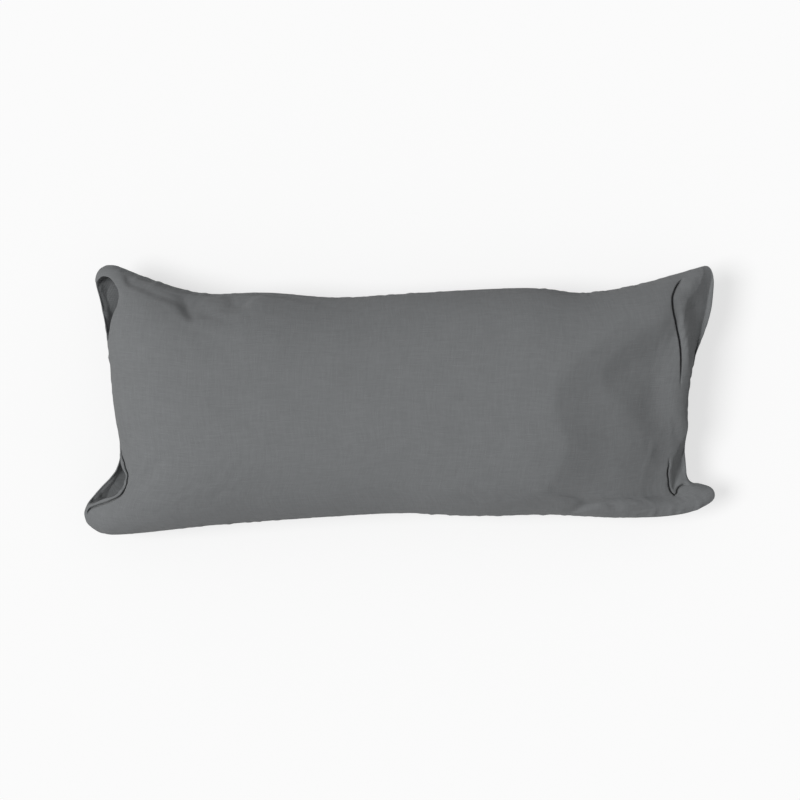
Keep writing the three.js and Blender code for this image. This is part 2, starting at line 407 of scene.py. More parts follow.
def panels_on_form(columns, rows):
    """The upper and the lower panel as grids of points on the pillow's form, with the threads evenly spread,
    and for each the flat sheet that the seam alone would span there."""
    points, triangles = welded(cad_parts["pillow"])
    sides = seam_sides(seam_loop(points, triangles))
    tree = BVHTree.FromPolygons(points.tolist(), triangles.tolist())
    sheets = []
    for looks_up in (True, False):
        sheets.append(across_seam(sides, *evenly_spread(tree, sides, looks_up, columns, rows)))
    panels = [laid_on(tree, sheet, looks_up) for sheet, looks_up in zip(sheets, (True, False))]
    edge = np.ones(panels[0].shape[:2], bool)
    edge[1:-1, 1:-1] = False
    panels[1][edge] = panels[0][edge]
    return panels, sheets


# ----------------------------------------------------------
# Meshes of two panels that share their seam


def panel_numbers(columns, rows):
    """The number of each grid point's vertex, on the upper panel and on the lower. They share the seam's."""
    upper = np.arange((columns + 1) * (rows + 1)).reshape(columns + 1, rows + 1)
    lower = upper.copy()
    lower[1:-1, 1:-1] = upper.size + np.arange((columns - 1) * (rows - 1)).reshape(columns - 1, rows - 1)
    return upper, lower


def quads(numbers, looks_up):
    found = np.stack(
        [numbers[:-1, :-1], numbers[1:, :-1], numbers[1:, 1:], numbers[:-1, 1:]], axis=-1
    ).reshape(-1, 4)
    return found if looks_up else found[:, ::-1]


def sewn_mesh(name, upper, lower):
    """A closed mesh of the two panels, whose grids have the same seam."""
    columns, rows = upper.shape[0] - 1, upper.shape[1] - 1
    up, low = panel_numbers(columns, rows)
    places = np.concatenate([upper.reshape(-1, 3), lower[1:-1, 1:-1].reshape(-1, 3)])
    mesh = bpy.data.meshes.new(name)
    mesh.from_pydata(places.tolist(), [], np.concatenate([quads(up, True), quads(low, False)]).tolist())
    return mesh


def square(half, level):
    """The corners of a level square about the middle, anticlockwise from above."""
    return [(x * half, y * half, level) for x, y in ((-1, -1), (1, -1), (1, 1), (-1, 1))]


def shown(name, mesh):
    made = bpy.data.objects.new(name, mesh)
    bpy.context.scene.collection.objects.link(made)
    return made


# ----------------------------------------------------------
# Stuffing: the cover is blown up from its flat size


def dotted(line, spacing):
    """Evenly spaced points along the smooth line through some points."""
    line = np.array(line)
    stations = np.append(0, np.cumsum(np.linalg.norm(np.diff(line, axis=0), axis=1)))
    return smooth_through(line, stations, np.linspace(0, stations[-1], int(stations[-1] / spacing) + 2))


def beside(line, places, spacing=0.001):
    """For each place, how far left of a line it lies, less than 0 on its right, the share of the line's
    length that it lies at, and the way to it from the line."""
    dots = dotted(line, spacing)
    ahead = np.gradient(dots, axis=0)
    ahead /= np.linalg.norm(ahead, axis=-1, keepdims=True)
    nearest = np.argmin((dots**2).sum(-1) - 2 * places @ dots.T, axis=-1)
    gap = places - dots[nearest]
    along = (gap * ahead[nearest]).sum(-1)
    gap -= np.clip(along, -spacing / 2, spacing / 2)[..., None] * ahead[nearest]
    turn = ahead[nearest][..., 0] * gap[..., 1] - ahead[nearest][..., 1] * gap[..., 0]
    return np.sign(turn) * np.linalg.norm(gap, axis=-1), nearest / (len(dots) - 1), gap


def through_seam(line, beyond=0.03):
    """A line on the cloth with both its ends carried straight out over the nearest seam."""
    ends = []
    for x, y in (line[0], line[-1]):
        gaps = (x, PANEL_LENGTH - x, y, PANEL_WIDTH - y)
        side = int(np.argmin(gaps))
        way = ((-1, 0), (1, 0), (0, -1), (0, 1))[side]
        ends.append(np.array((x, y)) + np.array(way) * (gaps[side] + beyond))
    return np.concatenate([ends[:1], line, ends[1:]])


def eased(low, high, value):
    t = np.clip((value - low) / (high - low), 0, 1)
    return t * t * (3 - 2 * t)


def swell(reach):
    """0 at 0, rising to 1 at a reach of 1, then dying away."""
    return reach * np.exp(1 - reach)


def fading(share, start, end):
    """1 along a line, falling to 0 over the given shares of it at its start and its end."""
    return eased(0, start, share) * eased(0, end, 1 - share)


def on_cloth(panel, line):
    """Where on the cloth, in metres along and across it, the points of a line in plan lie."""
    cells = np.array(panel.shape[:2]) - 1
    found = []
    for point in np.array(line):
        i, j = np.unravel_index(np.argmin(((panel[..., :2] - point) ** 2).sum(-1)), panel.shape[:2])
        i, j = np.clip((i, j), 1, cells - 1)
        ways = np.array([panel[i + 1, j] - panel[i - 1, j], panel[i, j + 1] - panel[i, j - 1]])[:, :2].T / 2
        shift = np.clip(np.linalg.lstsq(ways, point - panel[i, j, :2], rcond=0.1)[0], -1, 1)
        found.append(((i, j) + shift) / cells * (PANEL_LENGTH, PANEL_WIDTH))
    return np.array(found)


def on_panel(u, v):
    return np.stack([u * PANEL_LENGTH, v * PANEL_WIDTH], axis=-1)


def stuffing(panel, rounding=0.012):
    """How much of the stuffing's push reaches each point of a panel: none in the hollows."""
    push = np.ones(panel.shape[:2])
    shares = (np.linspace(0, 1, count) for count in panel.shape[:2])
    places = on_panel(*np.meshgrid(*shares, indexing="ij"))
    for hollow in HOLLOWS.values():
        inside, _, _ = beside(through_seam(on_cloth(panel, hollow["rim"])), places)
        push *= 1 - eased(-rounding / 2, rounding, inside)
    return push


def blown_up(upper, lower):
    """The two panels after the stuffing has pushed them out, with the seam held where it is."""
    columns, rows = upper.shape[0] - 1, upper.shape[1] - 1
    up, low = panel_numbers(columns, rows)
    cover = shown("blown cover", sewn_mesh("blown cover", upper, lower))
    flat = np.zeros((columns + 1, rows + 1, 3))
    flat[..., 0] = (np.arange(columns + 1) / columns - 0.5)[:, None] * PANEL_LENGTH * CLOTH_EASE
    flat[..., 1] = (np.arange(rows + 1) / rows - 0.5)[None, :] * PANEL_WIDTH * CLOTH_EASE
    cover.shape_key_add(name="sewn")
    cut = cover.shape_key_add(name="cut flat")
    places = np.concatenate([flat.reshape(-1, 3), flat[1:-1, 1:-1].reshape(-1, 3)])
    cut.data.foreach_set("co", places.astype(np.float32).ravel())

    held = cover.vertex_groups.new(name="seam")
    edge = np.ones(up.shape, bool)
    edge[1:-1, 1:-1] = False
    held.add(up[edge].tolist(), 1.0, "REPLACE")
    pushed = cover.vertex_groups.new(name="stuffing")
    for numbers, panel in ((up, upper), (low, lower)):
        for number, push in zip(numbers.ravel().tolist(), stuffing(panel).ravel().tolist()):
            pushed.add([number], push, "REPLACE")

    table = bpy.data.meshes.new("table")
    table.from_pydata(square(TABLE_HALF, TABLE_LEVEL), [], [(0, 1, 2, 3)])
    table = shown("table", table)
    table.modifiers.new("stops cloth", "COLLISION")
    table.collision.thickness_outer = 0.001

    cloth = cover.modifiers.new("cloth", "CLOTH")
    for name, value in CLOTH.items():
        setattr(cloth.settings, name, value)
    cloth.settings.vertex_group_mass = "seam"
    cloth.settings.vertex_group_pressure = "stuffing"
    cloth.settings.rest_shape_key = cut
    cloth.settings.effector_weights.gravity = 0
    cloth.collision_settings.distance_min = 0.001
    cloth.point_cache.frame_end = BLOWN_FRAMES
    for number in range(1, BLOWN_FRAMES + 1):
        bpy.context.scene.frame_set(number)
    seen = cover.evaluated_get(bpy.context.evaluated_depsgraph_get()).to_mesh()
    places = np.empty(len(seen.vertices) * 3)
    seen.vertices.foreach_get("co", places)
    places = places.reshape(-1, 3)
    bpy.data.objects.remove(cover)
    bpy.data.objects.remove(table)
    bpy.context.scene.frame_set(1)
    return places[up], places[low]


# ----------------------------------------------------------
# The finished cover: a finer grid, with its hollows, creases and seam


def denser(panel, times=4):
    """The smooth surface through a panel's points, on a grid so many times as fine."""
    for axis in (0, 1):
        points = np.moveaxis(panel, axis, 0)
        count = len(points) - 1
        at = np.arange(count * times + 1) / (count * times)
        read = smooth_through(points.reshape(count + 1, -1), np.arange(count + 1) / count, at)
        panel = np.moveaxis(read.reshape(len(at), *points.shape[1:]), 0, axis)
    return panel


def read_at(panel, u, v):
    """A dense panel's points at any shares of its length and width."""
    columns, rows = panel.shape[0] - 1, panel.shape[1] - 1
    i = np.clip((u * columns).astype(int), 0, columns - 1)
    j = np.clip((v * rows).astype(int), 0, rows - 1)
    s, t = (u * columns - i)[..., None], (v * rows - j)[..., None]
    return (1 - s) * ((1 - t) * panel[i, j] + t * panel[i, j + 1]) + s * (
        (1 - t) * panel[i + 1, j] + t * panel[i + 1, j + 1]
    )


def unit(ways):
    return ways / np.maximum(np.linalg.norm(ways, axis=-1, keepdims=True), 1e-12)


def closer_at_ends(count, closeness):
    t = np.arange(count + 1) / count
    return t - closeness * np.sin(2 * np.pi * t) / (2 * np.pi)


def seam_margins(u, v):
    """How far each place lies from the cloth's left end, right end, near side and far side."""
    return np.stack([u * PANEL_LENGTH, (1 - u) * PANEL_LENGTH, v * PANEL_WIDTH, (1 - v) * PANEL_WIDTH])


def from_seam(u, v):
    """How far each place lies from the seam, rounded where two sides are equally near."""
    return (np.maximum(seam_margins(u, v), 1e-9) ** -4.0).sum(0) ** -0.25


def needs_dividing(panel, u, v):
    """Which places lie close beside a crease or in a steep hollow."""
    close = np.zeros(u.shape, bool)
    for crease in CREASES.values():
        gap, _, _ = beside(on_cloth(panel, crease["line"]), on_panel(u, v))
        close |= (np.abs(gap) < DIVIDED_WITHIN) & (crease["width"] < NARROW)
    for hollow in HOLLOWS.values():
        inside, _, _ = beside(through_seam(on_cloth(panel, hollow["rim"])), on_panel(u, v))
        close |= (hollow["upright"] > 0) & (inside > -AROUND_HOLLOW)
    return close


def fine_grid(divided):
    """A fine panel's points as shares u and v, the number of each on the lattice, and the panel's faces.
    Squares are divided where asked, and one beside a divided one takes the extra points into its outline."""
    columns, rows = divided.shape
    n = DIVIDED
    numbers = np.full((columns * n + 1, rows * n + 1), -1)
    faces = []

    def outline(i, j):
        yield from ((i * n + k, j * n) for k in range(0, n, 1 if j > 0 and divided[i, j - 1] else n))
        yield from (
            (i * n + n, j * n + k) for k in range(0, n, 1 if i < columns - 1 and divided[i + 1, j] else n)
        )
        yield from (
            (i * n + n - k, j * n + n) for k in range(0, n, 1 if j < rows - 1 and divided[i, j + 1] else n)
        )
        yield from ((i * n, j * n + n - k) for k in range(0, n, 1 if i > 0 and divided[i - 1, j] else n))

    for i in range(columns):
        for j in range(rows):
            if divided[i, j]:
                for p in range(i * n, i * n + n):
                    for q in range(j * n, j * n + n):
                        faces.append([(p, q), (p + 1, q), (p + 1, q + 1), (p, q + 1)])
            else:
                faces.append(list(outline(i, j)))
    used = sorted({corner for face in faces for corner in face})
    for number, corner in enumerate(used):
        numbers[corner] = number
    stations = [
        np.interp(np.arange(count * n + 1) / n, np.arange(count + 1), closer_at_ends(count, closeness))
        for count, closeness in ((columns, COLUMNS_TO_ENDS), (rows, ROWS_TO_SIDES))
    ]
    u, v = (found[at] for found, at in zip(stations, np.array(used).T))
    return u, v, numbers, [[int(numbers[corner]) for corner in face] for face in faces]


def with_hollows(dense, sheet, places, u, v):
    """The panel with its hollows. Each drops from its rim, then rises or falls to the seam."""
    places = places.copy()
    for hollow in HOLLOWS.values():
        rim = through_seam(on_cloth(dense, hollow["rim"]))
        inside, _, _ = beside(rim, on_panel(u, v))
        taken = inside > 0
        inside, at_u, at_v = inside[taken], u[taken], v[taken]
        dots = dotted(rim, RIM_SPACING) / (PANEL_LENGTH, PANEL_WIDTH)
        dots = dots[(dots > 0).all(-1) & (dots < 1).all(-1)]
        apart = ((on_panel(at_u, at_v)[:, None] - on_panel(*dots.T)) ** 2).sum(-1)
        rim_places = read_at(dense, *dots.T)
        around = (apart + RIM_BLUR**2) ** -2
        above_sheet = around @ (rim_places - read_at(sheet, *dots.T)) / around.sum(-1, keepdims=True)
        closest = (apart + RIM_SPACING**2) ** -5
        top = closest @ rim_places / closest.sum(-1, keepdims=True)

        margin = from_seam(at_u, at_v)
        outward = inside / (inside + margin)
        room = eased(*SHUT_AND_OPEN, inside + margin)
        wall, upright = hollow["wall"], hollow["upright"] * room
        drop = np.minimum(outward / wall, 1)
        below = np.minimum(outward / wall, (1 - outward) / max(1 - wall, LEAST_RISE)) * room
        target = read_at(sheet, at_u, at_v) + above_sheet * (1 - np.stack([outward, outward, drop], axis=-1))
        target[:, 2] -= hollow["depth"] * below
        out_of_wall = np.maximum(outward - upright, 0) / (1 - upright) / outward
        way = (target - top)[:, :2]
        under = way / np.maximum(np.linalg.norm(way, axis=-1, keepdims=True), UNDER_EASE)
        target[:, :2] = top[:, :2] + way * out_of_wall[:, None] - under * (hollow["under"] * below)[:, None]
        places[taken] += eased(0, RIM_EASE, inside)[:, None] * (target - places[taken])
    return places


def with_slumps(dense, places, u, v):
    """The panel with its slumps, which are gone again at the seam."""
    places = places.copy()
    _, end, *sides = seam_margins(u, v)
    share = eased(*SLUMP_FROM_END, end) * eased(*SLUMP_FROM_SIDES, np.minimum(*sides))
    for slump in SLUMPS.values():
        out, _, _ = beside(on_cloth(dense, slump["line"]), on_panel(u, v))
        far = np.linspace(-0.05, 0.5, 1101)
        slope = eased(-slump["edge"], slump["edge"], far) * (1 - eased(0.4, 1.6, far / slump["run"]))
        down = np.cumsum(slope) / slope.sum()
        places[:, 2] -= slump["drop"] * np.interp(out, far, down) * share
    return places


def with_troughs(dense, places, u, v):
    """The panel with its troughs, which are gone again at the seam."""
    places = places.copy()
    for trough in TROUGHS.values():
        gap, share, _ = beside(on_cloth(dense, trough["line"]), on_panel(u, v))
        sinks = trough["depth"] * np.exp(-((gap / trough["width"]) ** 2)) * fading(share, *trough["fades"])
        places[:, 2] -= sinks * eased(0, TROUGHS_WHOLE, from_seam(u, v))
    return places


def normals_of(points, faces):
    """The way out of a panel's surface at each of its points."""
    mesh = bpy.data.meshes.new("panel")
    mesh.from_pydata(points.tolist(), [], faces)
    ways = np.empty(len(points) * 3, np.float32)
    mesh.vertex_normals.foreach_get("vector", ways)
    bpy.data.meshes.remove(mesh)
    return ways.reshape(-1, 3).astype(float)


def with_creases(dense, lower, places, u, v):
    """The panel with its creases: a narrow groove, a step down on its left, and a lip that leans over it."""
    places = places.copy()
    along, across = (unit(read_at(np.gradient(dense, axis=axis), u, v))[:, :2] for axis in (0, 1))
    most = np.maximum(places[:, 2] - read_at(lower, u, v)[:, 2] - PANELS_APART, 0) * CREASE_SHARE
    for crease in CREASES.values():
        gap, share, way = beside(on_cloth(dense, crease["line"]), on_panel(u, v))
        strength = fading(share, *crease["fades"]) * eased(0, CREASES_WHOLE, from_seam(u, v))
        way = way[:, :1] * along + way[:, 1:] * across
        gap = np.sign(gap) * np.maximum(np.linalg.norm(way, axis=-1), np.abs(gap) / 3)
        width = crease["width"]
        sinks = crease["depth"] * np.exp(-((gap / width) ** 2))
        sinks += crease["step"] * eased(-width, width, gap) * (1 - eased(0, crease["reach"], gap))
        lean = crease["lap"] * swell(np.maximum(-gap, 0) / (2 * width))
        places[:, 2] -= np.minimum(strength * sinks, most)
        places[:, :2] -= (strength * lean)[:, None] * unit(way)
    return places


def kept_above(lower, places, u, v):
    """The upper panel's points, raised where they would lie too close above the lower panel."""
    places = places.copy()
    floor = read_at(lower, u, v)[:, 2] + PANELS_APART * eased(0, FULLY_APART, from_seam(u, v))
    places[:, 2] = np.maximum(places[:, 2], floor)
    return places


def gather_height(u, v, chance):
    """How high the small gathers beside the seam are, from -1 to 1: each side has its own."""
    margins = seam_margins(u, v)
    along = (v * PANEL_WIDTH, v * PANEL_WIDTH, u * PANEL_LENGTH, u * PANEL_LENGTH)
    height = np.zeros(u.shape)
    for margin, place in zip(margins, along):
        ripple = sum(
            np.sin(2 * np.pi * place / length * chance.uniform(0.9, 1.1) + chance.uniform(0, 2 * np.pi))
            for length in GATHER_LENGTHS
        )
        strong = 0.5 + 0.5 * np.sin(2 * np.pi * place / GATHERS_SWELL + chance.uniform(0, 2 * np.pi))
        height += ripple / 2 * strong * swell(margin / GATHERS_REACH)
    return height


def beside_seam(sheet, places, normals, u, v, chance):
    """The panel's points with the seam drawn in, the cloth rolled over beside it, and the gathers."""
    along, across = (unit(read_at(np.gradient(sheet, axis=axis), u, v)) for axis in (0, 1))
    margins = seam_margins(u, v)
    nearness = np.exp(-(margins - margins.min(0)) / CORNER_ROUNDING)[..., None]
    outward = unit((nearness * np.stack([-along, along, -across, across])).sum(0))
    margin = from_seam(u, v)
    roll = ROLL_OUT * swell(margin / ROLL_WIDTH)
    drawn_in = SEAM_IN * np.exp(-((margin / SEAM_IN_WIDTH) ** 2))
    gathers = GATHERS * gather_height(u, v, chance)
    return places + normals * (roll + gathers)[:, None] - outward * drawn_in[:, None]


def cover_mesh(panels, sheets):
    """The mesh of the whole cover, with a map of where on the cloth each corner of its faces lies."""
    chance = np.random.RandomState(GATHERS_SEED)
    dense_up, dense_low = denser(panels[0]), denser(panels[1])
    sheet = denser(sheets[0])
    edges = closer_at_ends(FINE_COLUMNS, COLUMNS_TO_ENDS), closer_at_ends(FINE_ROWS, ROWS_TO_SIDES)
    middle_u, middle_v = np.meshgrid(*((edge[1:] + edge[:-1]) / 2 for edge in edges), indexing="ij")
    divided = needs_dividing(dense_up, middle_u, middle_v)
    divided[[0, -1]] = divided[:, [0, -1]] = False

    u, v, numbers, faces = fine_grid(divided)
    upper = read_at(dense_up, u, v)
    upper = with_hollows(dense_up, sheet, upper, u, v)
    upper = with_slumps(dense_up, upper, u, v)
    upper = with_troughs(dense_up, upper, u, v)
    upper = with_creases(dense_up, dense_low, upper, u, v)
    upper = kept_above(dense_low, upper, u, v)
    upper = beside_seam(sheet, upper, normals_of(upper, faces), u, v, chance)

    low_u, low_v, low_numbers, low_faces = fine_grid(np.zeros_like(divided))
    lower = read_at(dense_low, low_u, low_v)
    lower = beside_seam(denser(sheets[1]), lower, -normals_of(lower, low_faces), low_u, low_v, chance)
    lower[:, 2] = np.maximum(lower[:, 2], 0)
    seam = (low_u == 0) | (low_u == 1) | (low_v == 0) | (low_v == 1)
    same = numbers[::DIVIDED, ::DIVIDED][low_numbers[::DIVIDED, ::DIVIDED] >= 0]
    upper[same[seam]] = (upper[same[seam]] + lower[seam]) / 2
    joined = np.where(seam, same, len(upper) + np.cumsum(~seam) - 1)

    points = np.concatenate([upper, lower[~seam]])
    all_faces = faces + [[int(joined[c]) for c in reversed(face)] for face in low_faces]
    mesh = bpy.data.meshes.new("cover")
    mesh.from_pydata(points.tolist(), [], all_faces)
    cloth = mesh.uv_layers.new(name="cloth")
    corners = np.concatenate(faces), np.concatenate([face[::-1] for face in low_faces])
    laid = np.concatenate([on_panel(u, v)[corners[0]], (on_panel(low_u, low_v) + (0, 1))[corners[1]]])
    cloth.data.foreach_set("uv", laid.astype(np.float32).ravel())
    mesh.shade_smooth()
    ring = [(i, 0) for i in range(FINE_COLUMNS)] + [(FINE_COLUMNS, j) for j in range(FINE_ROWS)]
    ring += [(i, FINE_ROWS) for i in range(FINE_COLUMNS, 0, -1)] + [(0, j) for j in range(FINE_ROWS, 0, -1)]
    return mesh, upper[[numbers[i * DIVIDED, j * DIVIDED] for i, j in ring]]


# ----------------------------------------------------------
# Nodes


def add(tree, kind, **values):
    """A node of a kind, with its settings and its inputs' plain values."""
    node = tree.nodes.new(kind)
    for name, value in values.items():
        if hasattr(node, name):
            setattr(node, name, value)
        else:
            node.inputs[name.replace("_", " ")].default_value = value
    return node


def shade(tree, operation, *values, clamp=False):
    """A math node's result. Each value is a number or another node's result."""
    node = tree.nodes.new("ShaderNodeMath")
    node.operation = operation
    node.use_clamp = clamp
    for socket, value in zip(node.inputs, values):
        if isinstance(value, (int, float)):
            socket.default_value = value
        else:
            tree.links.new(value, socket)
    return node.outputs[0]


def new_group(name, inputs, outputs, kind="Shader"):
    """A node group with its input and output nodes. Each socket's name is given its kind."""
    tree = bpy.data.node_groups.new(name, f"{kind}NodeTree")
    for way, sockets in (("INPUT", inputs), ("OUTPUT", outputs)):
        for socket, holds in sockets.items():
            tree.interface.new_socket(socket, in_out=way, socket_type=f"NodeSocket{holds}")
    return tree, add(tree, "NodeGroupInput"), add(tree, "NodeGroupOutput")


# ----------------------------------------------------------
# The seam's thread


def stitching_tree():
    """Short bars of thread along a line, each a little askew."""
    sizes = dict.fromkeys(("Pitch", "Stitch length", "Thread radius", "Askew"), "Float")
    inputs = {"Line": "Geometry", **sizes, "Seed": "Int", "Thread": "Material"}
    tree, given, made = new_group("stitching", inputs, {"Stitches": "Geometry"}, "Geometry")
    link = tree.links.new
    path = add(tree, "GeometryNodeMeshToCurve")
    spots = add(tree, "GeometryNodeCurveToPoints", mode="LENGTH")
    bar = add(tree, "GeometryNodeMeshUVSphere", Segments=6, Rings=5, Radius=1.0)
    size = add(tree, "ShaderNodeCombineXYZ")
    half = shade(tree, "MULTIPLY", given.outputs["Stitch length"], 0.5)
    least = shade(tree, "MULTIPLY", given.outputs["Askew"], -1.0)
    turn = add(tree, "FunctionNodeRandomValue", data_type="FLOAT_VECTOR")
    low, high = add(tree, "ShaderNodeCombineXYZ"), add(tree, "ShaderNodeCombineXYZ")
    askew = add(tree, "FunctionNodeRotateRotation", rotation_space="LOCAL")
    sewn = add(tree, "GeometryNodeInstanceOnPoints")
    real = add(tree, "GeometryNodeRealizeInstances")
    finish = add(tree, "GeometryNodeSetMaterial")
    smooth = add(tree, "GeometryNodeSetShadeSmooth")

    link(given.outputs["Line"], path.inputs[0])
    link(path.outputs[0], spots.inputs["Curve"])
    link(given.outputs["Pitch"], spots.inputs["Length"])
    link(given.outputs["Thread radius"], size.inputs["X"])
    link(given.outputs["Thread radius"], size.inputs["Y"])
    link(half, size.inputs["Z"])
    for axis in ("X", "Y"):
        link(least, low.inputs[axis])
        link(given.outputs["Askew"], high.inputs[axis])
    link(low.outputs[0], turn.inputs["Min"])
    link(high.outputs[0], turn.inputs["Max"])
    link(given.outputs["Seed"], turn.inputs["Seed"])
    link(spots.outputs["Rotation"], askew.inputs["Rotation"])
    link(turn.outputs["Value"], askew.inputs["Rotate By"])
    link(spots.outputs["Points"], sewn.inputs["Points"])
    link(bar.outputs["Mesh"], sewn.inputs["Instance"])
    link(askew.outputs["Rotation"], sewn.inputs["Rotation"])
    link(size.outputs[0], sewn.inputs["Scale"])
    link(sewn.outputs[0], real.inputs[0])
    link(real.outputs[0], smooth.inputs["Geometry"])
    link(smooth.outputs[0], finish.inputs["Geometry"])
    link(given.outputs["Thread"], finish.inputs["Material"])
    link(finish.outputs[0], made.inputs[0])
    return tree


def seam_stitches(seam, thread):
    """The stitches that show down in the seam, along its closed line of points."""
    line = bpy.data.meshes.new("seam line")
    line.from_pydata(seam.tolist(), [(i, (i + 1) % len(seam)) for i in range(len(seam))], [])
    sewn = shown("seam line", line)
    modifier = sewn.modifiers.new("stitching", "NODES")
    modifier.node_group = stitching_tree()
    values = {
        "Pitch": STITCH_PITCH,
        "Stitch length": STITCH_LENGTH,
        "Thread radius": THREAD_RADIUS,
        "Askew": 0.14,
        "Seed": 3,
        "Thread": thread,
    }
    for socket in modifier.node_group.interface.items_tree:
        if socket.in_out == "INPUT" and socket.name in values:
            modifier[socket.identifier] = values[socket.name]
    bpy.context.view_layer.update()
    made = bpy.data.meshes.new_from_object(sewn.evaluated_get(bpy.context.evaluated_depsgraph_get()))
    bpy.data.objects.remove(sewn)
    return shown("seam_stitches", made)


# ----------------------------------------------------------
# Finishes


def speckle(tree, place, scale, detail=2.0, roughness=0.5, dimensions="2D"):
    node = add(tree, "ShaderNodeTexNoise", noise_dimensions=dimensions, Scale=scale, Detail=detail)
    node.inputs["Roughness"].default_value = roughness
    tree.links.new(place, node.inputs["Vector"])
    return node.outputs["Fac"]


def plain_weave():
    """Threads that pass over and under each other, each uneven along itself, with painted shade where they
    lie low. Cloth is a place in metres.
    """
    tree, given, made = new_group(
        "plain weave",
        {"Cloth": "Vector", "Pitch": "Float", "Wander": "Float"},
        {"Height": "Float", "Tone": "Float", "Slub": "Float"},
    )
    link = tree.links.new
    drift = add(tree, "ShaderNodeTexNoise", noise_dimensions="2D", Scale=16.0, Detail=1.0)
    link(given.outputs["Cloth"], drift.inputs["Vector"])
    centred = add(tree, "ShaderNodeVectorMath", operation="SUBTRACT")
    centred.inputs[1].default_value = (0.5, 0.5, 0.5)
    link(drift.outputs["Color"], centred.inputs[0])
    scaled = add(tree, "ShaderNodeVectorMath", operation="SCALE")
    link(centred.outputs[0], scaled.inputs[0])
    link(given.outputs["Wander"], scaled.inputs["Scale"])
    moved = add(tree, "ShaderNodeVectorMath", operation="ADD")
    link(given.outputs["Cloth"], moved.inputs[0])
    link(scaled.outputs[0], moved.inputs[1])
    split = add(tree, "ShaderNodeSeparateXYZ")
    link(moved.outputs[0], split.inputs[0])
    pitch = given.outputs["Pitch"]
    x = shade(tree, "DIVIDE", split.outputs["X"], pitch)
    y = shade(tree, "DIVIDE", split.outputs["Y"], pitch)
    wave_x = shade(tree, "SINE", shade(tree, "MULTIPLY", x, math.pi))
    wave_y = shade(tree, "SINE", shade(tree, "MULTIPLY", y, math.pi))
    over = shade(tree, "MULTIPLY_ADD", shade(tree, "MULTIPLY", wave_x, wave_y), 1.4, 0.5, clamp=True)

    def thread(wave, index, run, lies_over):
        place = add(tree, "ShaderNodeCombineXYZ")
        link(shade(tree, "MULTIPLY", shade(tree, "FLOOR", index), 7.31), place.inputs["X"])
        link(shade(tree, "MULTIPLY", run, 38.0), place.inputs["Y"])
        uneven = speckle(tree, place.outputs[0], 1.0, detail=2.0, roughness=0.6)
        round_top = shade(tree, "POWER", shade(tree, "ABSOLUTE", wave), 0.7)
        raised = shade(tree, "MULTIPLY", round_top, shade(tree, "MULTIPLY_ADD", lies_over, 0.5, 0.5))
        return shade(tree, "MULTIPLY", raised, shade(tree, "MULTIPLY_ADD", uneven, 0.8, 0.6)), uneven

    under = shade(tree, "SUBTRACT", 1.0, over)
    warp_height, warp_slub = thread(wave_x, x, split.outputs["Y"], over)
    weft_height, weft_slub = thread(wave_y, shade(tree, "ADD", y, 531.0), split.outputs["X"], under)
    on_top = shade(tree, "GREATER_THAN", warp_height, weft_height)
    more = shade(tree, "SUBTRACT", warp_slub, weft_slub)
    slub = shade(tree, "MULTIPLY_ADD", on_top, more, weft_slub)
    height = shade(tree, "MAXIMUM", warp_height, weft_height)
    # Tone: darker where the threads lie low, which is painted shade between the threads, and lighter along
    # the slubs, which is each thread's own unevenness.
    tone = shade(tree, "MULTIPLY_ADD", height, 0.5, shade(tree, "MULTIPLY", slub, 0.9))
    link(height, made.inputs["Height"])
    link(tone, made.inputs["Tone"])
    link(slub, made.inputs["Slub"])
    return tree


def fibre_fuzz():
    """The unevenness of dyed fibre: soft patches and a fine fuzz, on any place in metres."""
    inputs = {"Place": "Vector", "Patches": "Float", "Fuzz": "Float"}
    tree, given, made = new_group("fibre fuzz", inputs, {"Tone": "Float", "Height": "Float"})
    link = tree.links.new
    patches = speckle(tree, given.outputs["Place"], 22.0, detail=3.0, dimensions="3D")
    fuzz = speckle(tree, given.outputs["Place"], 1400.0, detail=2.0, dimensions="3D")
    tone = 1.0
    for noise, strength in ((patches, given.outputs["Patches"]), (fuzz, given.outputs["Fuzz"])):
        tone = shade(tree, "MULTIPLY_ADD", shade(tree, "SUBTRACT", noise, 0.5), strength, tone)
    link(tone, made.inputs["Tone"])
    link(fuzz, made.inputs["Height"])
    return tree


def placed(tree, group, **values):
    node = tree.nodes.new("ShaderNodeGroup")
    node.node_tree = group
    for name, value in values.items():
        socket = node.inputs[name]
        if isinstance(value, (int, float)):
            socket.default_value = value
        else:
            tree.links.new(value, socket)
    return node


def finish_of(name, **values):
    """A material with its Principled shader's plain values set."""
    material = bpy.data.materials.new(name)
    material.use_nodes = True
    shader = material.node_tree.nodes["Principled BSDF"]
    for socket, value in values.items():
        shader.inputs[socket.replace("_", " ")].default_value = value
    return material, material.node_tree, shader


def toned(tree, colour, tone):
    """A colour made lighter or darker by a tone around 1."""
    node = add(tree, "ShaderNodeVectorMath", operation="SCALE")
    node.inputs[0].default_value = colour[:3]
    tree.links.new(tone, node.inputs["Scale"])
    return node.outputs[0]


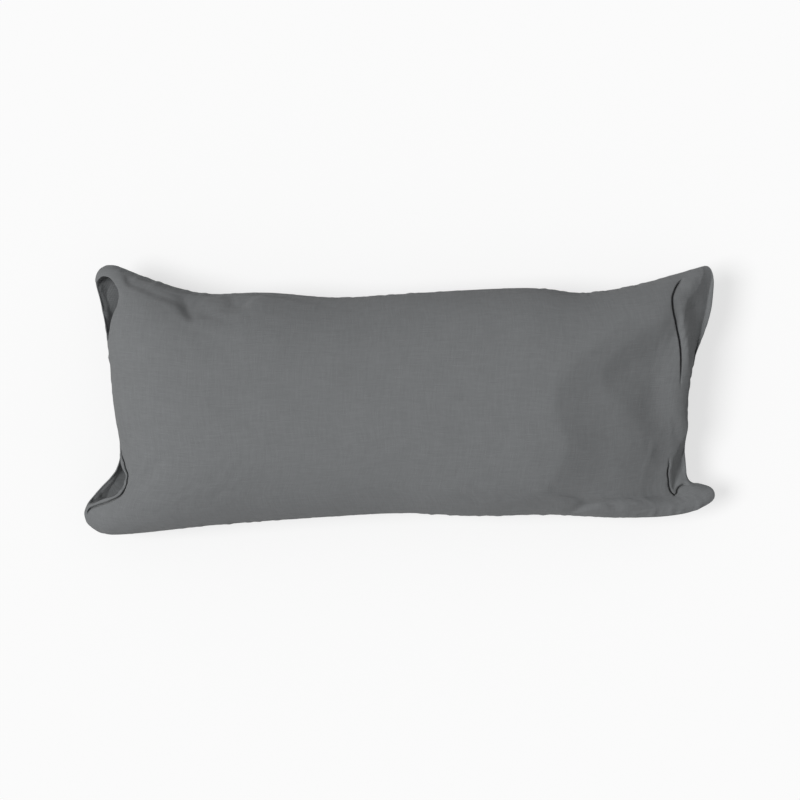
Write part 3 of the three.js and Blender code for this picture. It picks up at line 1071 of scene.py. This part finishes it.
def cover_cloth(weave, fuzz):
    """Matt charcoal cloth of cotton and linen."""
    material, tree, shader = finish_of(
        "charcoal cotton and linen", Specular_IOR_Level=0.22, Sheen_Weight=0.10, Sheen_Roughness=0.55
    )
    link = tree.links.new
    cloth = add(tree, "ShaderNodeUVMap", uv_map="cloth").outputs["UV"]
    place = add(tree, "ShaderNodeTexCoord").outputs["Object"]
    woven = placed(tree, weave, Cloth=cloth, Pitch=THREAD_PITCH, Wander=0.0022)
    dyed = placed(tree, fuzz, Place=place, Patches=0.10, Fuzz=0.10)
    # The weave's tone holds painted shade between the threads as well as the slubs' own unevenness.
    weave_tone_and_shade = shade(tree, "MULTIPLY_ADD", woven.outputs["Tone"], 0.33, 0.725)
    tone = shade(tree, "MULTIPLY", dyed.outputs["Tone"], weave_tone_and_shade)
    link(toned(tree, CLOTH_COLOUR, tone), shader.inputs["Base Color"])
    link(shade(tree, "MULTIPLY_ADD", woven.outputs["Slub"], -0.12, 0.95), shader.inputs["Roughness"])
    height = shade(tree, "MULTIPLY_ADD", dyed.outputs["Height"], 0.25, woven.outputs["Height"])
    bump = add(tree, "ShaderNodeBump", Strength=0.5, Distance=0.0006)
    link(height, bump.inputs["Height"])
    link(bump.outputs["Normal"], shader.inputs["Normal"])
    return material


def seam_thread(fuzz):
    """The sewing thread, dyed to match the cloth."""
    material, tree, shader = finish_of("matching sewing thread", Roughness=0.75, Specular_IOR_Level=0.3)
    place = add(tree, "ShaderNodeTexCoord").outputs["Object"]
    dyed = placed(tree, fuzz, Place=place, Patches=0.10, Fuzz=0.30)
    tree.links.new(toned(tree, THREAD_COLOUR, dyed.outputs["Tone"]), shader.inputs["Base Color"])
    bump = add(tree, "ShaderNodeBump", Strength=0.4, Distance=0.0002)
    tree.links.new(dyed.outputs["Height"], bump.inputs["Height"])
    tree.links.new(bump.outputs["Normal"], shader.inputs["Normal"])
    return material


# ----------------------------------------------------------
# Studio


def seen_directly(tree):
    """1 for what the camera sees, straight or in a reflection, and 0 for what only lights other things."""
    path = add(tree, "ShaderNodeLightPath")
    seen = shade(tree, "ADD", path.outputs["Is Camera Ray"], path.outputs["Is Glossy Ray"], clamp=True)
    return shade(tree, "ADD", seen, path.outputs["Is Transmission Ray"], clamp=True)


def lift_for_camera(tree, shader_output, strength):
    """Adds light that only the camera and reflections see to a shader, for a white that lights nothing."""
    lift = add(tree, "ShaderNodeEmission")
    tree.links.new(shade(tree, "MULTIPLY", seen_directly(tree), strength), lift.inputs["Strength"])
    both = add(tree, "ShaderNodeAddShader")
    tree.links.new(shader_output, both.inputs[0])
    tree.links.new(lift.outputs[0], both.inputs[1])
    return both.outputs[0]


def studio_floor():
    mesh = bpy.data.meshes.new("floor")
    mesh.from_pydata(square(FLOOR_SIZE / 2, 0), [], [(0, 1, 2, 3)])
    floor = shown("floor", mesh)
    material = bpy.data.materials.new("pale floor")
    material.use_nodes = True
    tree = material.node_tree
    tree.nodes.clear()
    paper = add(tree, "ShaderNodeBsdfDiffuse", Color=(FLOOR_TONE, FLOOR_TONE, FLOOR_TONE, 1))
    output = add(tree, "ShaderNodeOutputMaterial")
    lifted = lift_for_camera(tree, paper.outputs[0], FLOOR_WHITE - FLOOR_TONE)
    tree.links.new(lifted, output.inputs["Surface"])
    mesh.materials.append(material)


def studio_light():
    """A soft lamp and the room's even light. Level ground under them renders at its own colour."""
    way = Vector(LAMP_FROM).normalized()
    lamp = bpy.data.lights.new("soft lamp", "SUN")
    lamp.angle = LAMP_SOFTNESS
    lamp.energy = math.pi * (1 - ROOM_LIGHT) / way.z
    made = bpy.data.objects.new("soft lamp", lamp)
    bpy.context.scene.collection.objects.link(made)
    made.rotation_mode = "QUATERNION"
    made.rotation_quaternion = way.to_track_quat("Z", "Y")
    world = bpy.data.worlds.new("room")
    bpy.context.scene.world = world
    world.use_nodes = True
    tree = world.node_tree
    room = tree.nodes["Background"]
    room.inputs["Color"].default_value = (1, 1, 1, 1)
    strength = shade(tree, "MULTIPLY_ADD", seen_directly(tree), 1 - ROOM_LIGHT, ROOM_LIGHT)
    tree.links.new(strength, room.inputs["Strength"])


# ----------------------------------------------------------
# The scene

camera()
studio_floor()
studio_light()
bpy.context.scene.view_settings.view_transform = "Standard"

panels, sheets = panels_on_form(BLOWN_COLUMNS, BLOWN_ROWS)
panels = blown_up(*panels)

fuzz = fibre_fuzz()
mesh, seam = cover_mesh(panels, sheets)
cover = shown("pillow_cover", mesh)
mesh.materials.append(cover_cloth(plain_weave(), fuzz))
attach(cover, "root")
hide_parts("pillow")

stitches = seam_stitches(seam, seam_thread(fuzz))
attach(stitches, "root")
